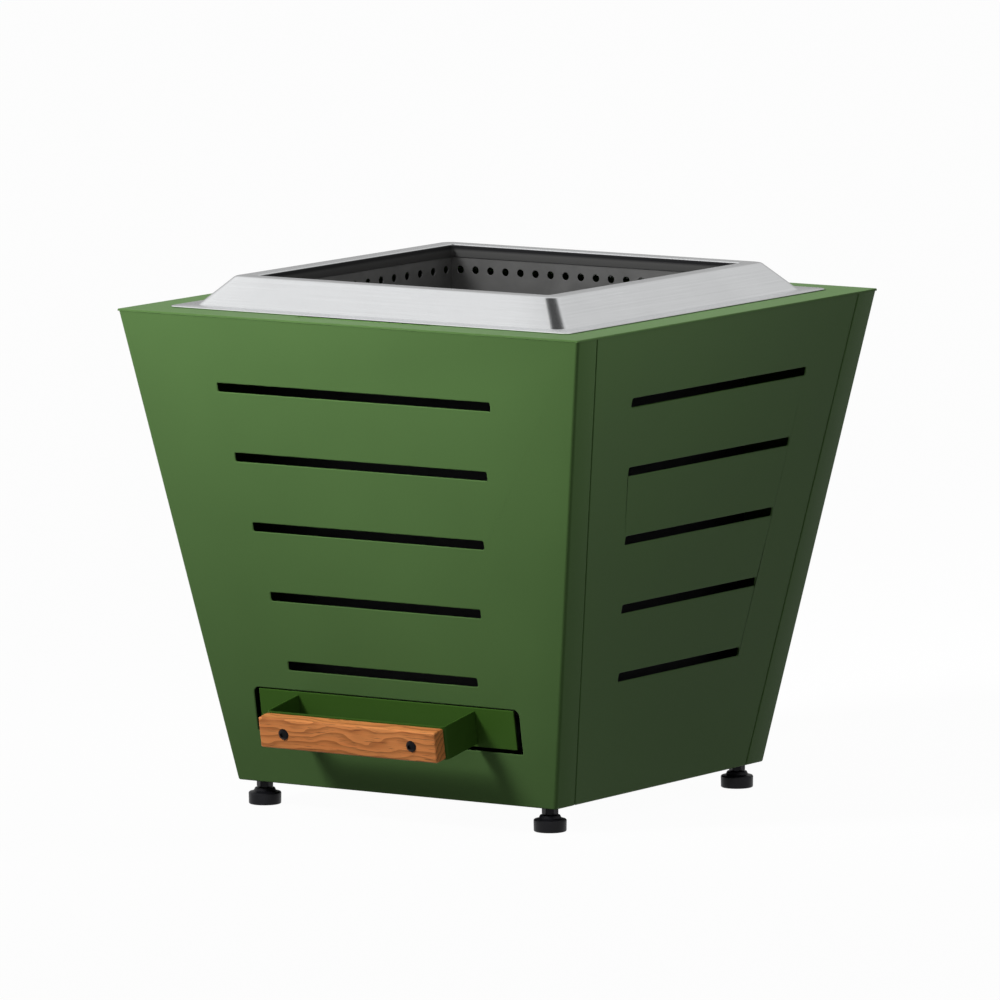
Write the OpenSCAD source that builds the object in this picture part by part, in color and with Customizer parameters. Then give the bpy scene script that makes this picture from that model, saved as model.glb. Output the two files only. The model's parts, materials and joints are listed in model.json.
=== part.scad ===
// Square rocket stove: a tapered sheet-metal housing, a lift-out steel fire insert with
// its own grate, an ash drawer with a wooden handle bar, and four levelling feet.
// Millimetres. +Z is up, the floor is z = 0, the drawer faces -Y, and the housing's
// upright centre line is the Z axis.

/* [Housing] */
// Outer width of the housing at its top edge
body_top = 500; // [480:1:640]
// Outer width of the housing at its bottom edge
body_bottom = 348; // [345:1:440]
// Upright height of the housing
body_h = 435; // [380:1:560]
// Thickness of the housing sheet
sheet = 2; // [1.5:0.1:3]
// Outer radius of the bend at the housing's four upright corners
bend_r = 4; // [3.6:0.1:10]
// How far the front and rear panels run round the corners, level with the floor
wrap_w = 31; // [24:1:45]
// Open joint between a wrapped panel and a side panel
seam_gap = 0.8; // [0.4:0.1:2]
// Depth of the flanges turned inwards at the top and bottom of each panel
return_w = 18; // [12:1:24]

/* [Air slots] */
// Number of slots in each face
slot_count = 5; // [1:1:6]
// Height of a slot, measured along the sloping face
slot_h = 8; // [5:0.5:12]
// Distance between slot centres, measured along the sloping face
slot_pitch = 65; // [40:1:75]
// Distance from the bottom edge to the lowest slot's centre, along the sloping face
slot_first = 113.7; // [108:0.1:130]
// Sheet left between a slot's end and the corner, front and rear faces
slot_margin_front = 90.5; // [60:0.5:130]
// Sheet left between a slot's end and the corner, left and right faces
slot_margin_side = 93.5; // [60:0.5:130]
// Corner radius of a slot
slot_r = 1.5; // [0.5:0.1:2.4]

/* [Rim frame] */
// Thickness of the square frame that closes the top of the housing
rim_t = 2; // [1.5:0.1:4]
// How far the frame reaches in under the fire ring's flange
rim_lap = 17; // [11:1:19]
// Length of the lifting slot in the front and rear of the frame
lift_slot_l = 144; // [80:1:200]
// Width of the lifting slot
lift_slot_w = 7; // [4:0.5:8]

/* [Base and feet] */
// Height of the housing's bottom edge above the floor
foot_h = 23; // [21:0.5:40]
// Thickness of the base plate
base_t = 3; // [2:0.5:6]
// Distance of each foot's centre in from the housing's bottom edge
foot_inset = 18; // [17:0.5:24]
// Diameter of a foot pad
pad_d = 30; // [24:1:30]
// Height of a foot pad's cylindrical part
pad_h = 11; // [8:0.5:12]
// Diameter of the foot stud
stud_d = 8; // [6:1:10]
// Width across the flats of the stud's hexagonal collar
collar_af = 13; // [13:0.5:17]
// How far a foot can be screwed out
foot_travel = 10; // [5:1:12]
// Height of a threaded insert above the base plate
insert_h = 12; // [8:1:16]

/* [Fire insert] */
// Clear width of the ring's square opening
mouth_w = 317; // [240:1:330]
// Sheet thickness of the ring and the chamber walls
steel_t = 1.5; // [1:0.1:2]
// Rise of the ring above the housing's top
ring_rise = 27; // [15:1:50]
// Width of the ring's flat flange, edge to edge
ring_flange = 434; // [426:1:436]
// Width of the ring where its sloping faces meet the flange
ring_base = 401; // [380:1:408]
// Width of the ring's flat top, edge to edge
ring_top = 352; // [330:1:360]
// Depth of the lip turned down inside the mouth
lip_drop = 12; // [6:0.5:18]
// Gap between the ash tray's rim and the chamber's bottom edge
ash_gap = 12; // [10:1:50]
// Holes in a row across the front and rear chamber walls
holes_front = 19; // [4:1:24]
// Holes in a row across the left and right chamber walls
holes_side = 15; // [4:1:24]
// Diameter of an air hole
hole_d = 7.2; // [3:0.1:9]
// Distance from a wall's end to its first hole's centre
hole_margin = 9.5; // [8:0.5:30]
// Depth of the hole row below the top of the ring
hole_drop = 23.5; // [18:0.5:60]

/* [Grate] */
// Width of the ledge that carries the grate
ledge_w = 27; // [12:1:30]
// Thickness of the ledge
ledge_t = 2; // [1.5:0.5:4]
// Thickness of the grate
grate_t = 4; // [3:0.5:10]
// Free space round the grate
grate_gap = 4; // [2:0.5:8]
// Number of slots in each of the grate's two rows
grate_slots = 12; // [4:1:14]
// Width of a grate slot
grate_slot_w = 9; // [5:0.5:12]
// Solid bar left across the middle and round the edge of the grate
grate_bar = 22; // [10:1:30]

/* [Ash drawer] */
// Distance from the bottom edge to the drawer front's lower edge, along the face
fascia_s = 52.8; // [50:0.1:60]
// Height of the drawer front, along the face
fascia_h = 37; // [34:0.5:44]
// Width of the drawer front
fascia_w = 278; // [240:1:284]
// Gap between the drawer front and its opening, at the sides
fascia_gap_side = 5.5; // [1:0.5:8]
// Gap under the drawer front
fascia_gap_low = 3.6; // [1:0.1:6]
// Gap over the drawer front
fascia_gap_top = 1; // [0.9:0.1:3]
// How far the drawer front stands past the tray on each side
fascia_lap = 5; // [4:0.5:24]
// Length of the ash tray
tray_l = 330; // [280:1:340]
// Height of the ash tray's walls
tray_h = 30; // [20:1:31]
// Sheet thickness of the ash tray
tray_t = 1.5; // [1:0.1:2]
// Width of the shelf that carries each side of the tray
shelf_w = 18; // [10:1:24]
// Sheet thickness of the runners
runner_t = 1.5; // [1:0.1:2]
// Length of the runners
runner_l = 310; // [200:1:320]

/* [Handle] */
// Outer width of the handle bracket
bracket_w = 194; // [150:1:230]
// Distance that the bracket stands out from the drawer front
bracket_d = 50; // [35:1:70]
// Height of the bracket's strip
bracket_h = 31; // [24:0.5:34]
// Thickness of the bracket's strip
bracket_t = 2; // [1.5:0.1:3]
// Outer radius of the bracket's two bends
bracket_r = 4; // [3.2:0.1:8]
// Length of the wooden bar
bar_l = 192; // [150:1:240]
// Height of the wooden bar
bar_h = 28.5; // [20:0.5:34]
// Thickness of the wooden bar
bar_t = 15; // [10:0.5:20]
// Distance between the two bolts
bolt_span = 139; // [100:1:160]
// Diameter of the bolts
bolt_d = 6; // [5:0.5:6]
// Diameter of a bolt's button head
bolt_head_d = 10.5; // [9:0.5:12]
// Height of a bolt's button head
bolt_head_h = 3.3; // [2.5:0.1:4]

/* [Hidden] */
// Clearance between pieces that slide or lift past each other
slide_gap = 0.3;
// Radial clearance of a stud in its insert or pad
stud_fit = 0.05;
// Radial clearance of a bolt, rivet or nut's thread
bolt_fit = 0.1;
// Extra diameter of the base plate's holes, which the inserts' flanges cover
base_hole_play = 1;
// Thickness of a foot pad under its stud
pad_floor = 4;
// Height of the neck that rises from a foot pad
pad_neck_h = 4;
// Space between a foot's pad and the flanges beside it
foot_clear = 6;
// Height of the tray's floor above the drawer front's lower edge, along the face
tray_up = 1;
// Distance of the runners behind the front panel, at the base plate
runner_setback = 8;
// Distances of a rivet from its runner's web and from its runner's end
rivet_in = 12;
rivet_end = 30;
// Diameter of a rivet, and the diameter and height of its heads
rivet_d = 4;
rivet_head_d = 8;
rivet_head_h = 1.2;
// Overlap that makes a cutter run clear of what it cuts
past = 1;
// True rounds
$fn = 48;

lean = atan((body_top - body_bottom) / 2 / body_h);   // lean of each face from upright
edge_turn = atan(sin(lean));                          // a corner edge's angle in the face
fold = acos(sin(lean) * sin(lean));                   // angle turned at a corner bend
panel_top_z = foot_h + body_h - rim_t;                // the panels stop under the rim frame
slant = (body_h - rim_t) / cos(lean);                 // sloping length of a panel
sheet_across = sheet / cos(lean);                     // sheet thickness measured level
top_z = foot_h + body_h;                              // upper face of the rim frame
ring_z = top_z + ring_rise;                           // highest face of the stove
base_z = foot_h + sheet;                              // underside of the base plate
base_top_z = base_z + base_t;
foot_pos = body_bottom / 2 - foot_inset;              // a foot's distance from the centre lines
tray_w = fascia_w - 2 * fascia_lap;
tray_z = foot_h + (fascia_s + tray_up) * cos(lean);   // underside of the ash tray
shelf_z = tray_z - slide_gap;
guide_x = tray_w / 2 + 2 * slide_gap;                 // inner face of a runner's web
runner_y = -(face_y(base_top_z) - sheet_across) + runner_setback;
chamber_z = tray_z + tray_h + ash_gap;                // bottom edge of the chamber
chamber_in = mouth_w / 2 + steel_t;                   // the walls stand outside the lip
chamber_out = chamber_in + steel_t;
grate_half = chamber_in - grate_gap;
grate_z = chamber_z + ledge_t + slide_gap;
bracket_s = fascia_s + (fascia_h - bracket_h) / 2;    // the bracket is centred on the front
handle_s = fascia_s + fascia_h / 2;                   // centre line of the handle
nut_h = bolt_d * 0.85;                                // a plain hexagonal nut's proportions
nut_af = bolt_d / 0.6;
collar_z = pad_h + pad_neck_h + slide_gap;            // the collar turns just over the pad
SIDES = [-1, 1];
CORNERS = [[-1, -1], [1, -1], [-1, 1], [1, 1]];

// ---- places on the sloping faces -------------------------------------------------------

// Distance of the outer face from the Z axis at height z above the floor
function face_y(z) = body_bottom / 2 + (z - foot_h) * tan(lean);

// Half the width of a face at the distance s up its slope
function half_width(s) = body_bottom / 2 + s * sin(lean);

// Puts a shape on a face: x runs along it, y up its slope and z straight out of it.
// turn is 0 for the front, 90 for the right, 180 for the rear and 270 for the left.
module on_face(turn) {
    rotate([0, 0, turn])
        translate([0, -body_bottom / 2, foot_h])
            rotate([90 + lean, 0, 0])
                children();
}

// Puts a shape on a face's corner edge: y runs up the edge and x away from the face
module on_edge(turn, side) {
    on_face(turn)
        translate([side * body_bottom / 2, 0, 0])
            rotate([0, 0, -side * edge_turn])
                children();
}

// Keeps what lies between the housing's bottom edge and the rim frame
module between_levels() {
    intersection() {
        translate([-body_top, -body_top, foot_h])
            cube([2 * body_top, 2 * body_top, panel_top_z - foot_h]);
        union() children();
    }
}

// ---- flat outlines ---------------------------------------------------------------------

// A rectangle with four rounded corners, centred
module rounded_2d(w, h, r) {
    square([w - 2 * r, h], center = true);
    square([w, h - 2 * r], center = true);
    for (x = SIDES, y = SIDES)
        translate([x * (w / 2 - r), y * (h / 2 - r)])
            circle(r);
}

// A strip of sheet that follows a face's corner edge, from inset a to inset b
module edge_strip_2d(side, a, b) {
    low = -sheet;
    high = slant + sheet;
    polygon([
        [side * (half_width(low) - a / cos(edge_turn)), low],
        [side * (half_width(high) - a / cos(edge_turn)), high],
        [side * (half_width(high) - b / cos(edge_turn)), high],
        [side * (half_width(low) - b / cos(edge_turn)), low]
    ]);
}

// A whole face, with both of its edges inset
module face_2d(inset) {
    low = -sheet;
    high = slant + sheet;
    polygon([
        [-half_width(low) + inset / cos(edge_turn), low],
        [half_width(low) - inset / cos(edge_turn), low],
        [half_width(high) - inset / cos(edge_turn), high],
        [-half_width(high) + inset / cos(edge_turn), high]
    ]);
}

// A rectangle whose far end has rounded corners: it starts at y = 0 and ends at y = -d
module round_end_2d(w, d, r) {
    translate([-w / 2, -(d - r)])
        square([w, d - r]);
    translate([-(w / 2 - r), -d])
        square([w - 2 * r, r + past / 10]);
    for (x = SIDES)
        translate([x * (w / 2 - r), -(d - r)])
            circle(r);
}

// ---- housing ---------------------------------------------------------------------------

// Cutter that rounds a housing corner: what lies outside a round bar set in the corner.
// The bar stands a hair proud of the faces, so that it leaves no sliver beside them.
module corner_round(turn, side) {
    sink = bend_r - 0.05;
    reach = 3 * bend_r;
    length = slant / cos(edge_turn) + 4 * sheet;
    on_edge(turn, side)
        translate([-side * sink * tan(fold / 2), -2 * sheet, -sink])
            rotate([-90, 0, 0])
                linear_extrude(length)
                    difference() {
                        polygon([
                            [0, 0],
                            [0, -reach],
                            [side * reach, -reach],
                            [side * reach * cos(90 - fold), -reach * sin(90 - fold)]
                        ]);
                        circle(bend_r);
                    }
}

// The flanges turned inwards along the top and the bottom of a panel
module returns(turn) {
    top_half = half_width(slant) - wrap_w - return_w;
    low_half = foot_pos - pad_d / 2 - foot_clear;
    rotate([0, 0, turn]) {
        translate([-top_half, -face_y(panel_top_z) + sheet, panel_top_z - sheet])
            cube([2 * top_half, return_w, sheet]);
        translate([-low_half, -face_y(foot_h) + sheet / 2, foot_h])
            cube([2 * low_half, return_w, sheet]);
    }
}

// Cutters for one face's row of air slots
module air_slots(turn, margin) {
    on_face(turn)
        for (i = [0 : slot_count - 1]) {
            s = slot_first + i * slot_pitch;
            translate([0, s, -sheet - past])
                linear_extrude(sheet + 2 * past)
                    rounded_2d(2 * (half_width(s) - margin), slot_h, slot_r);
        }
}

// A front or rear panel: one sheet whose two sides wrap round the corners
module wrapped_panel(turn) {
    difference() {
        between_levels() {
            on_face(turn)
                translate([0, 0, -sheet])
                    linear_extrude(sheet)
                        face_2d(sheet / 2);
            for (side = SIDES)
                on_face(turn + side * 90)
                    translate([0, 0, -sheet])
                        linear_extrude(sheet)
                            edge_strip_2d(-side, 0, wrap_w * cos(edge_turn));
            returns(turn);
        }
        for (side = SIDES)
            corner_round(turn, side);
        air_slots(turn, slot_margin_front);
    }
}

// A left or right panel: a flat sheet between the two wrapped panels
module side_panel(turn) {
    difference() {
        between_levels() {
            on_face(turn)
                translate([0, 0, -sheet])
                    linear_extrude(sheet)
                        face_2d(wrap_w * cos(edge_turn) + seam_gap);
            returns(turn);
        }
        air_slots(turn, slot_margin_side);
    }
}

// Cutter for the drawer's opening, with rounded upper corners
module drawer_opening() {
    low = fascia_s - fascia_gap_low;
    high = fascia_s + fascia_h + fascia_gap_top;
    half = fascia_w / 2 + fascia_gap_side;
    r = min(6, fascia_gap_side + 0.5);    // the drawer front's square corners stay clear
    on_face(0)
        translate([0, 0, -sheet - past])
            linear_extrude(sheet + 2 * past) {
                translate([-half, low])
                    square([2 * half, high - low - r]);
                translate([-half + r, low])
                    square([2 * (half - r), high - low]);
                for (side = SIDES)
                    translate([side * (half - r), high - r])
                        circle(r);
            }
}

module front_panel() {
    color("#54763f")
        difference() {
            wrapped_panel(0);
            drawer_opening();
        }
}

module rear_panel() {
    color("#54763f")
        wrapped_panel(180);
}

module right_panel() {
    color("#3f5c31")
        side_panel(90);
}

module left_panel() {
    color("#3f5c31")
        side_panel(270);
}

// A backing strip behind the seam between a wrapped panel and a side panel
module seam_strip(turn, side) {
    strip_w = 28;
    across = wrap_w * cos(edge_turn) + seam_gap / 2;
    end_gap = (across + strip_w / 2) * tan(edge_turn) + 2 * sheet;   // its corners stay inside
    color("#4a4d4a")
        on_edge(turn, side)
            translate([-side * across - strip_w / 2, end_gap, -2 * sheet])
                cube([strip_w, slant / cos(edge_turn) - 2 * end_gap, sheet]);
}

// The flat frame that closes the top of the housing and carries the fire insert
module rim_frame() {
    inner = ring_flange - 2 * rim_lap;
    slot_y = (ring_flange + lift_slot_w) / 2;
    color("#54763f")
        translate([0, 0, panel_top_z])
            linear_extrude(rim_t)
                difference() {
                    square(body_top, center = true);
                    square(inner, center = true);
                    for (side = SIDES)
                        translate([0, side * slot_y])
                            rounded_2d(lift_slot_l, lift_slot_w, slot_r);
                }
}

// ---- base and feet ---------------------------------------------------------------------

// Places of the four rivets that hold the runners down
module at_rivets() {
    for (x = SIDES, y = SIDES)
        translate([x * (guide_x - rivet_in),
                   runner_y + runner_l / 2 + y * (runner_l / 2 - rivet_end), 0])
            children();
}

module base_plate() {
    half = face_y(base_z) - sheet_across - slide_gap;
    color("#3a3d3a")
        difference() {
            translate([-half, -half, base_z])
                cube([2 * half, 2 * half, base_t]);
            for (c = CORNERS)
                translate([c.x * foot_pos, c.y * foot_pos, base_z - past])
                    cylinder(h = base_t + 2 * past, d = stud_d + base_hole_play);
            at_rivets()
                translate([0, 0, base_z - past])
                    cylinder(h = base_t + 2 * past, d = rivet_d + 2 * bolt_fit);
        }
}

module foot_inserts() {
    flange_d = stud_d + 14;
    flange_t = 2;
    barrel_d = stud_d + 5;
    color("#b8babc")
        for (c = CORNERS)
            translate([c.x * foot_pos, c.y * foot_pos, base_top_z])
                difference() {
                    union() {
                        cylinder(h = flange_t, d = flange_d);
                        cylinder(h = insert_h, d = barrel_d);
                    }
                    translate([0, 0, -past])
                        cylinder(h = insert_h + 2 * past, d = stud_d + 2 * stud_fit);
                }
}

// The swivelling pad, with the socket that the stud's lower end turns in
module foot_pad(corner) {
    r = pad_d / 2;
    edge = 1;
    shoulder_h = 1.2;
    color("#202022")
        translate([corner.x * foot_pos, corner.y * foot_pos, 0])
            difference() {
                rotate_extrude()
                    polygon([
                        [0, 0],
                        [r - edge, 0],
                        [r, edge],
                        [r, pad_h - edge],
                        [r - edge, pad_h],
                        [r * 0.75, pad_h + shoulder_h],
                        [r * 0.62, pad_h + pad_neck_h],
                        [0, pad_h + pad_neck_h]
                    ]);
                translate([0, 0, pad_floor])
                    cylinder(h = pad_h + past, d = stud_d + 2 * stud_fit);
            }
}

// The threaded stud with its hexagonal collar
module foot_stud(corner) {
    collar_h = base_z - slide_gap - collar_z;
    thread_low = pad_floor + slide_gap;
    thread_top = base_top_z + insert_h + foot_travel;    // level with the insert at full travel
    color("#2c2c2e")
        translate([corner.x * foot_pos, corner.y * foot_pos, 0]) {
            translate([0, 0, thread_low])
                cylinder(h = thread_top - thread_low, d = stud_d);
            translate([0, 0, collar_z])
                cylinder(h = collar_h, d = collar_af / cos(30), $fn = 6);
        }
}

// ---- drawer runners --------------------------------------------------------------------

// One folded runner: a foot on the base plate, an upright web and a shelf for the tray
module runner(side) {
    foot_w = 26;
    guide_h = 14;
    color("#4a4d4a")
        difference() {
            mirror([side < 0 ? 1 : 0, 0, 0])
                translate([0, runner_y, 0]) {
                    translate([guide_x, 0, base_top_z])
                        cube([runner_t, runner_l, shelf_z + guide_h - base_top_z]);
                    translate([guide_x - foot_w, 0, base_top_z])
                        cube([foot_w + runner_t, runner_l, runner_t]);
                    translate([guide_x - shelf_w, 0, shelf_z - runner_t])
                        cube([shelf_w + runner_t, runner_l, runner_t]);
                }
            at_rivets()
                translate([0, 0, base_top_z - past])
                    cylinder(h = runner_t + 2 * past, d = rivet_d + 2 * bolt_fit);
        }
}

module runner_rivets() {
    color("#b8babc")
        at_rivets() {
            translate([0, 0, base_z - rivet_head_h])
                cylinder(h = base_t + runner_t + 2 * rivet_head_h, d = rivet_d);
            for (z = [base_z - rivet_head_h, base_top_z + runner_t])
                translate([0, 0, z])
                    cylinder(h = rivet_head_h, d = rivet_head_d);
        }
}

// ---- fire insert -----------------------------------------------------------------------

// The ring's section, with x measured out from the stove's centre line
module ring_section() {
    rise = ring_rise - steel_t;
    run = (ring_base - ring_top) / 2;
    across = steel_t / sin(atan(rise / run));
    polygon([
        [ring_flange / 2, 0],
        [ring_flange / 2, steel_t],
        [ring_base / 2, steel_t],
        [ring_top / 2, ring_rise],
        [mouth_w / 2, ring_rise],
        [mouth_w / 2, ring_rise - lip_drop],
        [mouth_w / 2 + steel_t, ring_rise - lip_drop],
        [mouth_w / 2 + steel_t, rise],
        [ring_top / 2 + steel_t * run / rise - across, rise],
        [ring_base / 2 + steel_t * run / rise - across, 0]
    ]);
}

// The ring: the section carried round a square, with mitred corners
module fire_ring() {
    long = ring_flange + 2 * past;
    color("#d9dadc")
        translate([0, 0, top_z])
            for (turn = [0 : 90 : 270])
                rotate([0, 0, turn])
                    intersection() {
                        translate([0, long / 2, 0])
                            rotate([90, 0, 0])
                                linear_extrude(long)
                                    ring_section();
                        linear_extrude(ring_rise)
                            polygon([[0, 0], [long / 2, -long / 2], [long / 2, long / 2]]);
                    }
}

// One wall of the fire chamber, drawn at the front and turned into place
module chamber_wall(turn, half, holes) {
    wall_h = ring_z - steel_t - slide_gap - chamber_z;
    hole_z = ring_z - hole_drop;
    pitch = 2 * (chamber_in - hole_margin) / (holes - 1);
    color("#7d7f80")
        rotate([0, 0, turn])
            difference() {
                translate([-half, -chamber_out, chamber_z])
                    cube([2 * half, steel_t, wall_h]);
                for (i = [0 : holes - 1])
                    translate([-chamber_in + hole_margin + i * pitch, -chamber_in, hole_z])
                        rotate([90, 0, 0])
                            translate([0, 0, -past])
                                cylinder(h = steel_t + 2 * past, d = hole_d);
            }
}

module grate_ledge() {
    color("#7d7f80")
        translate([0, 0, chamber_z])
            linear_extrude(ledge_t)
                difference() {
                    square(2 * chamber_in, center = true);
                    square(2 * (chamber_in - ledge_w), center = true);
                }
}

module fire_grate() {
    slot_l = (2 * grate_half - 3 * grate_bar) / 2;
    pitch = 2 * (grate_half - grate_bar) / grate_slots;
    corner_r = 6;
    end_r = grate_slot_w / 2 - 0.1;
    color("#2f3032")
        translate([0, 0, grate_z])
            linear_extrude(grate_t)
                difference() {
                    rounded_2d(2 * grate_half, 2 * grate_half, corner_r);
                    for (i = [0 : grate_slots - 1], row = SIDES)
                        translate([-grate_half + grate_bar + (i + 0.5) * pitch,
                                   row * (slot_l + grate_bar) / 2])
                            rounded_2d(grate_slot_w, slot_l, end_r);
                }
}

// ---- ash drawer ------------------------------------------------------------------------

// The tray's side view: upright at the rear and parallel to the drawer front at the front
module tray_side_2d(wall) {
    low = tray_z + wall;
    high = tray_z + tray_h + (wall > 0 ? past : 0);
    front = sheet_across + wall / cos(lean);
    rear = -(face_y(tray_z) - sheet_across) + tray_l - wall;
    polygon([
        [-face_y(low) + front, low],
        [rear, low],
        [rear, high],
        [-face_y(high) + front, high]
    ]);
}

module ash_tray() {
    inner_w = tray_w - 2 * tray_t;
    color("#8a8c8c")
        difference() {
            translate([-tray_w / 2, 0, 0])
                rotate([90, 0, 90])
                    linear_extrude(tray_w)
                        tray_side_2d(0);
            translate([-inner_w / 2, 0, 0])
                rotate([90, 0, 90])
                    linear_extrude(inner_w)
                        tray_side_2d(tray_t);
        }
}

module drawer_fascia() {
    color("#54763f")
        on_face(0)
            translate([-fascia_w / 2, fascia_s, -sheet])
                cube([fascia_w, fascia_h, sheet]);
}

// A U-shaped strip that stands straight out of the drawer front
module handle_bracket() {
    inner_r = bracket_r - bracket_t;
    color("#3f5c31")
        on_face(0)
            difference() {
                translate([0, bracket_s, 0])
                    rotate([-90, 0, 0])
                        linear_extrude(bracket_h)
                            difference() {
                                round_end_2d(bracket_w, bracket_d, bracket_r);
                                translate([0, past])
                                    round_end_2d(bracket_w - 2 * bracket_t,
                                                 bracket_d - bracket_t + past, inner_r);
                            }
                at_bolts()
                    cylinder(h = 2 * bracket_t + past, r = bolt_d / 2 + bolt_fit);
            }
}

// The two bolts' places, just behind the bracket's web
module at_bolts() {
    for (side = SIDES)
        translate([side * bolt_span / 2, handle_s, bracket_d - 2 * bracket_t])
            children();
}

module handle_bar() {
    edge_r = 1.5;
    color("#b87444")
        on_face(0)
            difference() {
                translate([-bar_l / 2, handle_s, bracket_d + bar_t / 2])
                    rotate([90, 0, 90])
                        linear_extrude(bar_l)
                            rounded_2d(bar_h, bar_t, edge_r);
                at_bolts()
                    cylinder(h = 2 * bracket_t + bar_t + past, r = bolt_d / 2 + bolt_fit);
            }
}

module handle_bolts() {
    dome_r = (pow(bolt_head_d / 2, 2) + pow(bolt_head_h, 2)) / (2 * bolt_head_h);
    thread_end = 1.5;
    shank_l = nut_h + bracket_t + bar_t + thread_end;
    socket_af = bolt_d * 2 / 3;
    socket_depth = 2;
    color("#202022")
        on_face(0)
            for (side = SIDES)
                translate([side * bolt_span / 2, handle_s, bracket_d + bar_t])
                    difference() {
                        union() {
                            intersection() {
                                translate([0, 0, bolt_head_h - dome_r])
                                    sphere(dome_r);
                                cylinder(h = bolt_head_h, d = bolt_head_d + past);
                            }
                            translate([0, 0, -shank_l])
                                cylinder(h = shank_l + past, d = bolt_d);
                        }
                        translate([0, 0, bolt_head_h - socket_depth])
                            cylinder(h = socket_depth + past, d = socket_af / cos(30), $fn = 6);
                    }
}

module handle_nuts() {
    color("#b8babc")
        on_face(0)
            for (side = SIDES)
                translate([side * bolt_span / 2, handle_s, bracket_d - bracket_t - nut_h])
                    difference() {
                        cylinder(h = nut_h, d = nut_af / cos(30), $fn = 6);
                        translate([0, 0, -past])
                            cylinder(h = nut_h + 2 * past, r = bolt_d / 2 + bolt_fit);
                    }
}

// ---- the pieces ------------------------------------------------------------------------

front_panel();
rear_panel();
left_panel();
right_panel();
rim_frame();
base_plate();
seam_strip(270, 1);  // seam_strip_front_left
seam_strip(90, -1);  // seam_strip_front_right
seam_strip(270, -1);  // seam_strip_rear_left
seam_strip(90, 1);  // seam_strip_rear_right
foot_inserts();
runner(-1);  // left_runner
runner(1);  // right_runner
runner_rivets();
fire_ring();
chamber_wall(0, chamber_out, holes_front);  // chamber_front
chamber_wall(180, chamber_out, holes_front);  // chamber_rear
chamber_wall(270, chamber_in, holes_side);  // chamber_left
chamber_wall(90, chamber_in, holes_side);  // chamber_right
grate_ledge();
fire_grate();
ash_tray();
drawer_fascia();
handle_bracket();
handle_bar();
handle_bolts();
handle_nuts();
foot_pad(CORNERS[0]);  // foot_pad_front_left
foot_pad(CORNERS[1]);  // foot_pad_front_right
foot_pad(CORNERS[2]);  // foot_pad_rear_left
foot_pad(CORNERS[3]);  // foot_pad_rear_right
foot_stud(CORNERS[0]);  // foot_stud_front_left
foot_stud(CORNERS[1]);  // foot_stud_front_right
foot_stud(CORNERS[2]);  // foot_stud_rear_left
foot_stud(CORNERS[3]);  // foot_stud_rear_right
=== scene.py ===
import json
import math

import bmesh
import bpy
import numpy as np
from mathutils import Matrix, Vector


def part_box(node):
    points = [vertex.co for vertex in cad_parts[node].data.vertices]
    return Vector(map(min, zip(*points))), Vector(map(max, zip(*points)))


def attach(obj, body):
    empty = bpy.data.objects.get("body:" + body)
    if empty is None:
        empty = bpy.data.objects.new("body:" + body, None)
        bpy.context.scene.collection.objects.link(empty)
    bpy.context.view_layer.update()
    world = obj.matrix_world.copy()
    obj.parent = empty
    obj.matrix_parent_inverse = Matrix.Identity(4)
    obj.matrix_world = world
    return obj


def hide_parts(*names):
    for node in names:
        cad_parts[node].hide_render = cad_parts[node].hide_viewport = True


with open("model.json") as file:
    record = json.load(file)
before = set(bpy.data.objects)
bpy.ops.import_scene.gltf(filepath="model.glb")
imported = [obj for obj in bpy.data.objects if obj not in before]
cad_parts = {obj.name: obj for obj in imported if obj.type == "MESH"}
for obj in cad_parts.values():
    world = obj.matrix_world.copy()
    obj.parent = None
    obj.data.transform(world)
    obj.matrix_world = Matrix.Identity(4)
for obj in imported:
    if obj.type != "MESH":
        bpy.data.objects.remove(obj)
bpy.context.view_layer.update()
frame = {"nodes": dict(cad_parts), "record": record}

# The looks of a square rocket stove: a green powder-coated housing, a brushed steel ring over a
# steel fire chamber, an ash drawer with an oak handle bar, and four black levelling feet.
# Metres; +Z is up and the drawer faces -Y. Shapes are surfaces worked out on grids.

MM = 0.001

# ---- sizes that the frame's boxes don't give -------------------------------------------------

BODY_BOTTOM = 348 * MM        # the housing's outer width at its bottom edge
RING_BASE = 401 * MM          # width over the ring's sloping faces where they meet the flange
RING_TOP = 352 * MM           # width of the ring's flat top
MOUTH = 317 * MM              # clear width of the ring's opening
RING_STEEL = 1.5 * MM         # sheet of the ring
LIP_DROP = 12 * MM            # depth of the lip inside the mouth
RING_BENDS = (2.2 * MM, 2.8 * MM, 1.0 * MM)        # at the flange, the top and the lip
RING_CORNERS = np.array([3, 11, 13, 8]) * MM       # at the mouth, top, base and flange
HANDLE_S = 71.3 * MM          # the handle's centre line, up the sloping front
BRACKET_OUT = 50 * MM         # the handle bracket's web stands this far out of the front
BRACKET_T = 2 * MM            # strip of the bracket
BAR = (192 * MM, 28.5 * MM, 15 * MM)        # the oak bar: length, height and thickness
BAR_EDGE = 1.6 * MM           # rounding of the bar's arrises
BOLT_SPAN = 139 * MM
BOLT_HEAD = (10.5 * MM, 3.3 * MM)           # a button head's diameter and height
BOLT_D = 6 * MM
BOLT_L = 27 * MM              # a bolt's shank
BOLT_PLAY = 0.1 * MM          # round a bolt in its nut
NUT_H = BOLT_D * 0.85
NUT_AF = BOLT_D / 0.6
PAD_H = 11 * MM               # a foot pad's cylindrical part
NECK_H = 4 * MM               # the neck above it
STUD_D = 8 * MM
STUD_PITCH = 1.25 * MM
THREAD_DEPTH = 0.35 * MM
STUD_PLAY = 0.05 * MM         # round a stud in its pad
COLLAR_AF = 13 * MM           # across the flats of the stud's collar
PLAY = 0.3 * MM               # clearance between pieces that move
FLANGE = 2 * MM               # the housing's folded bottom edge

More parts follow.
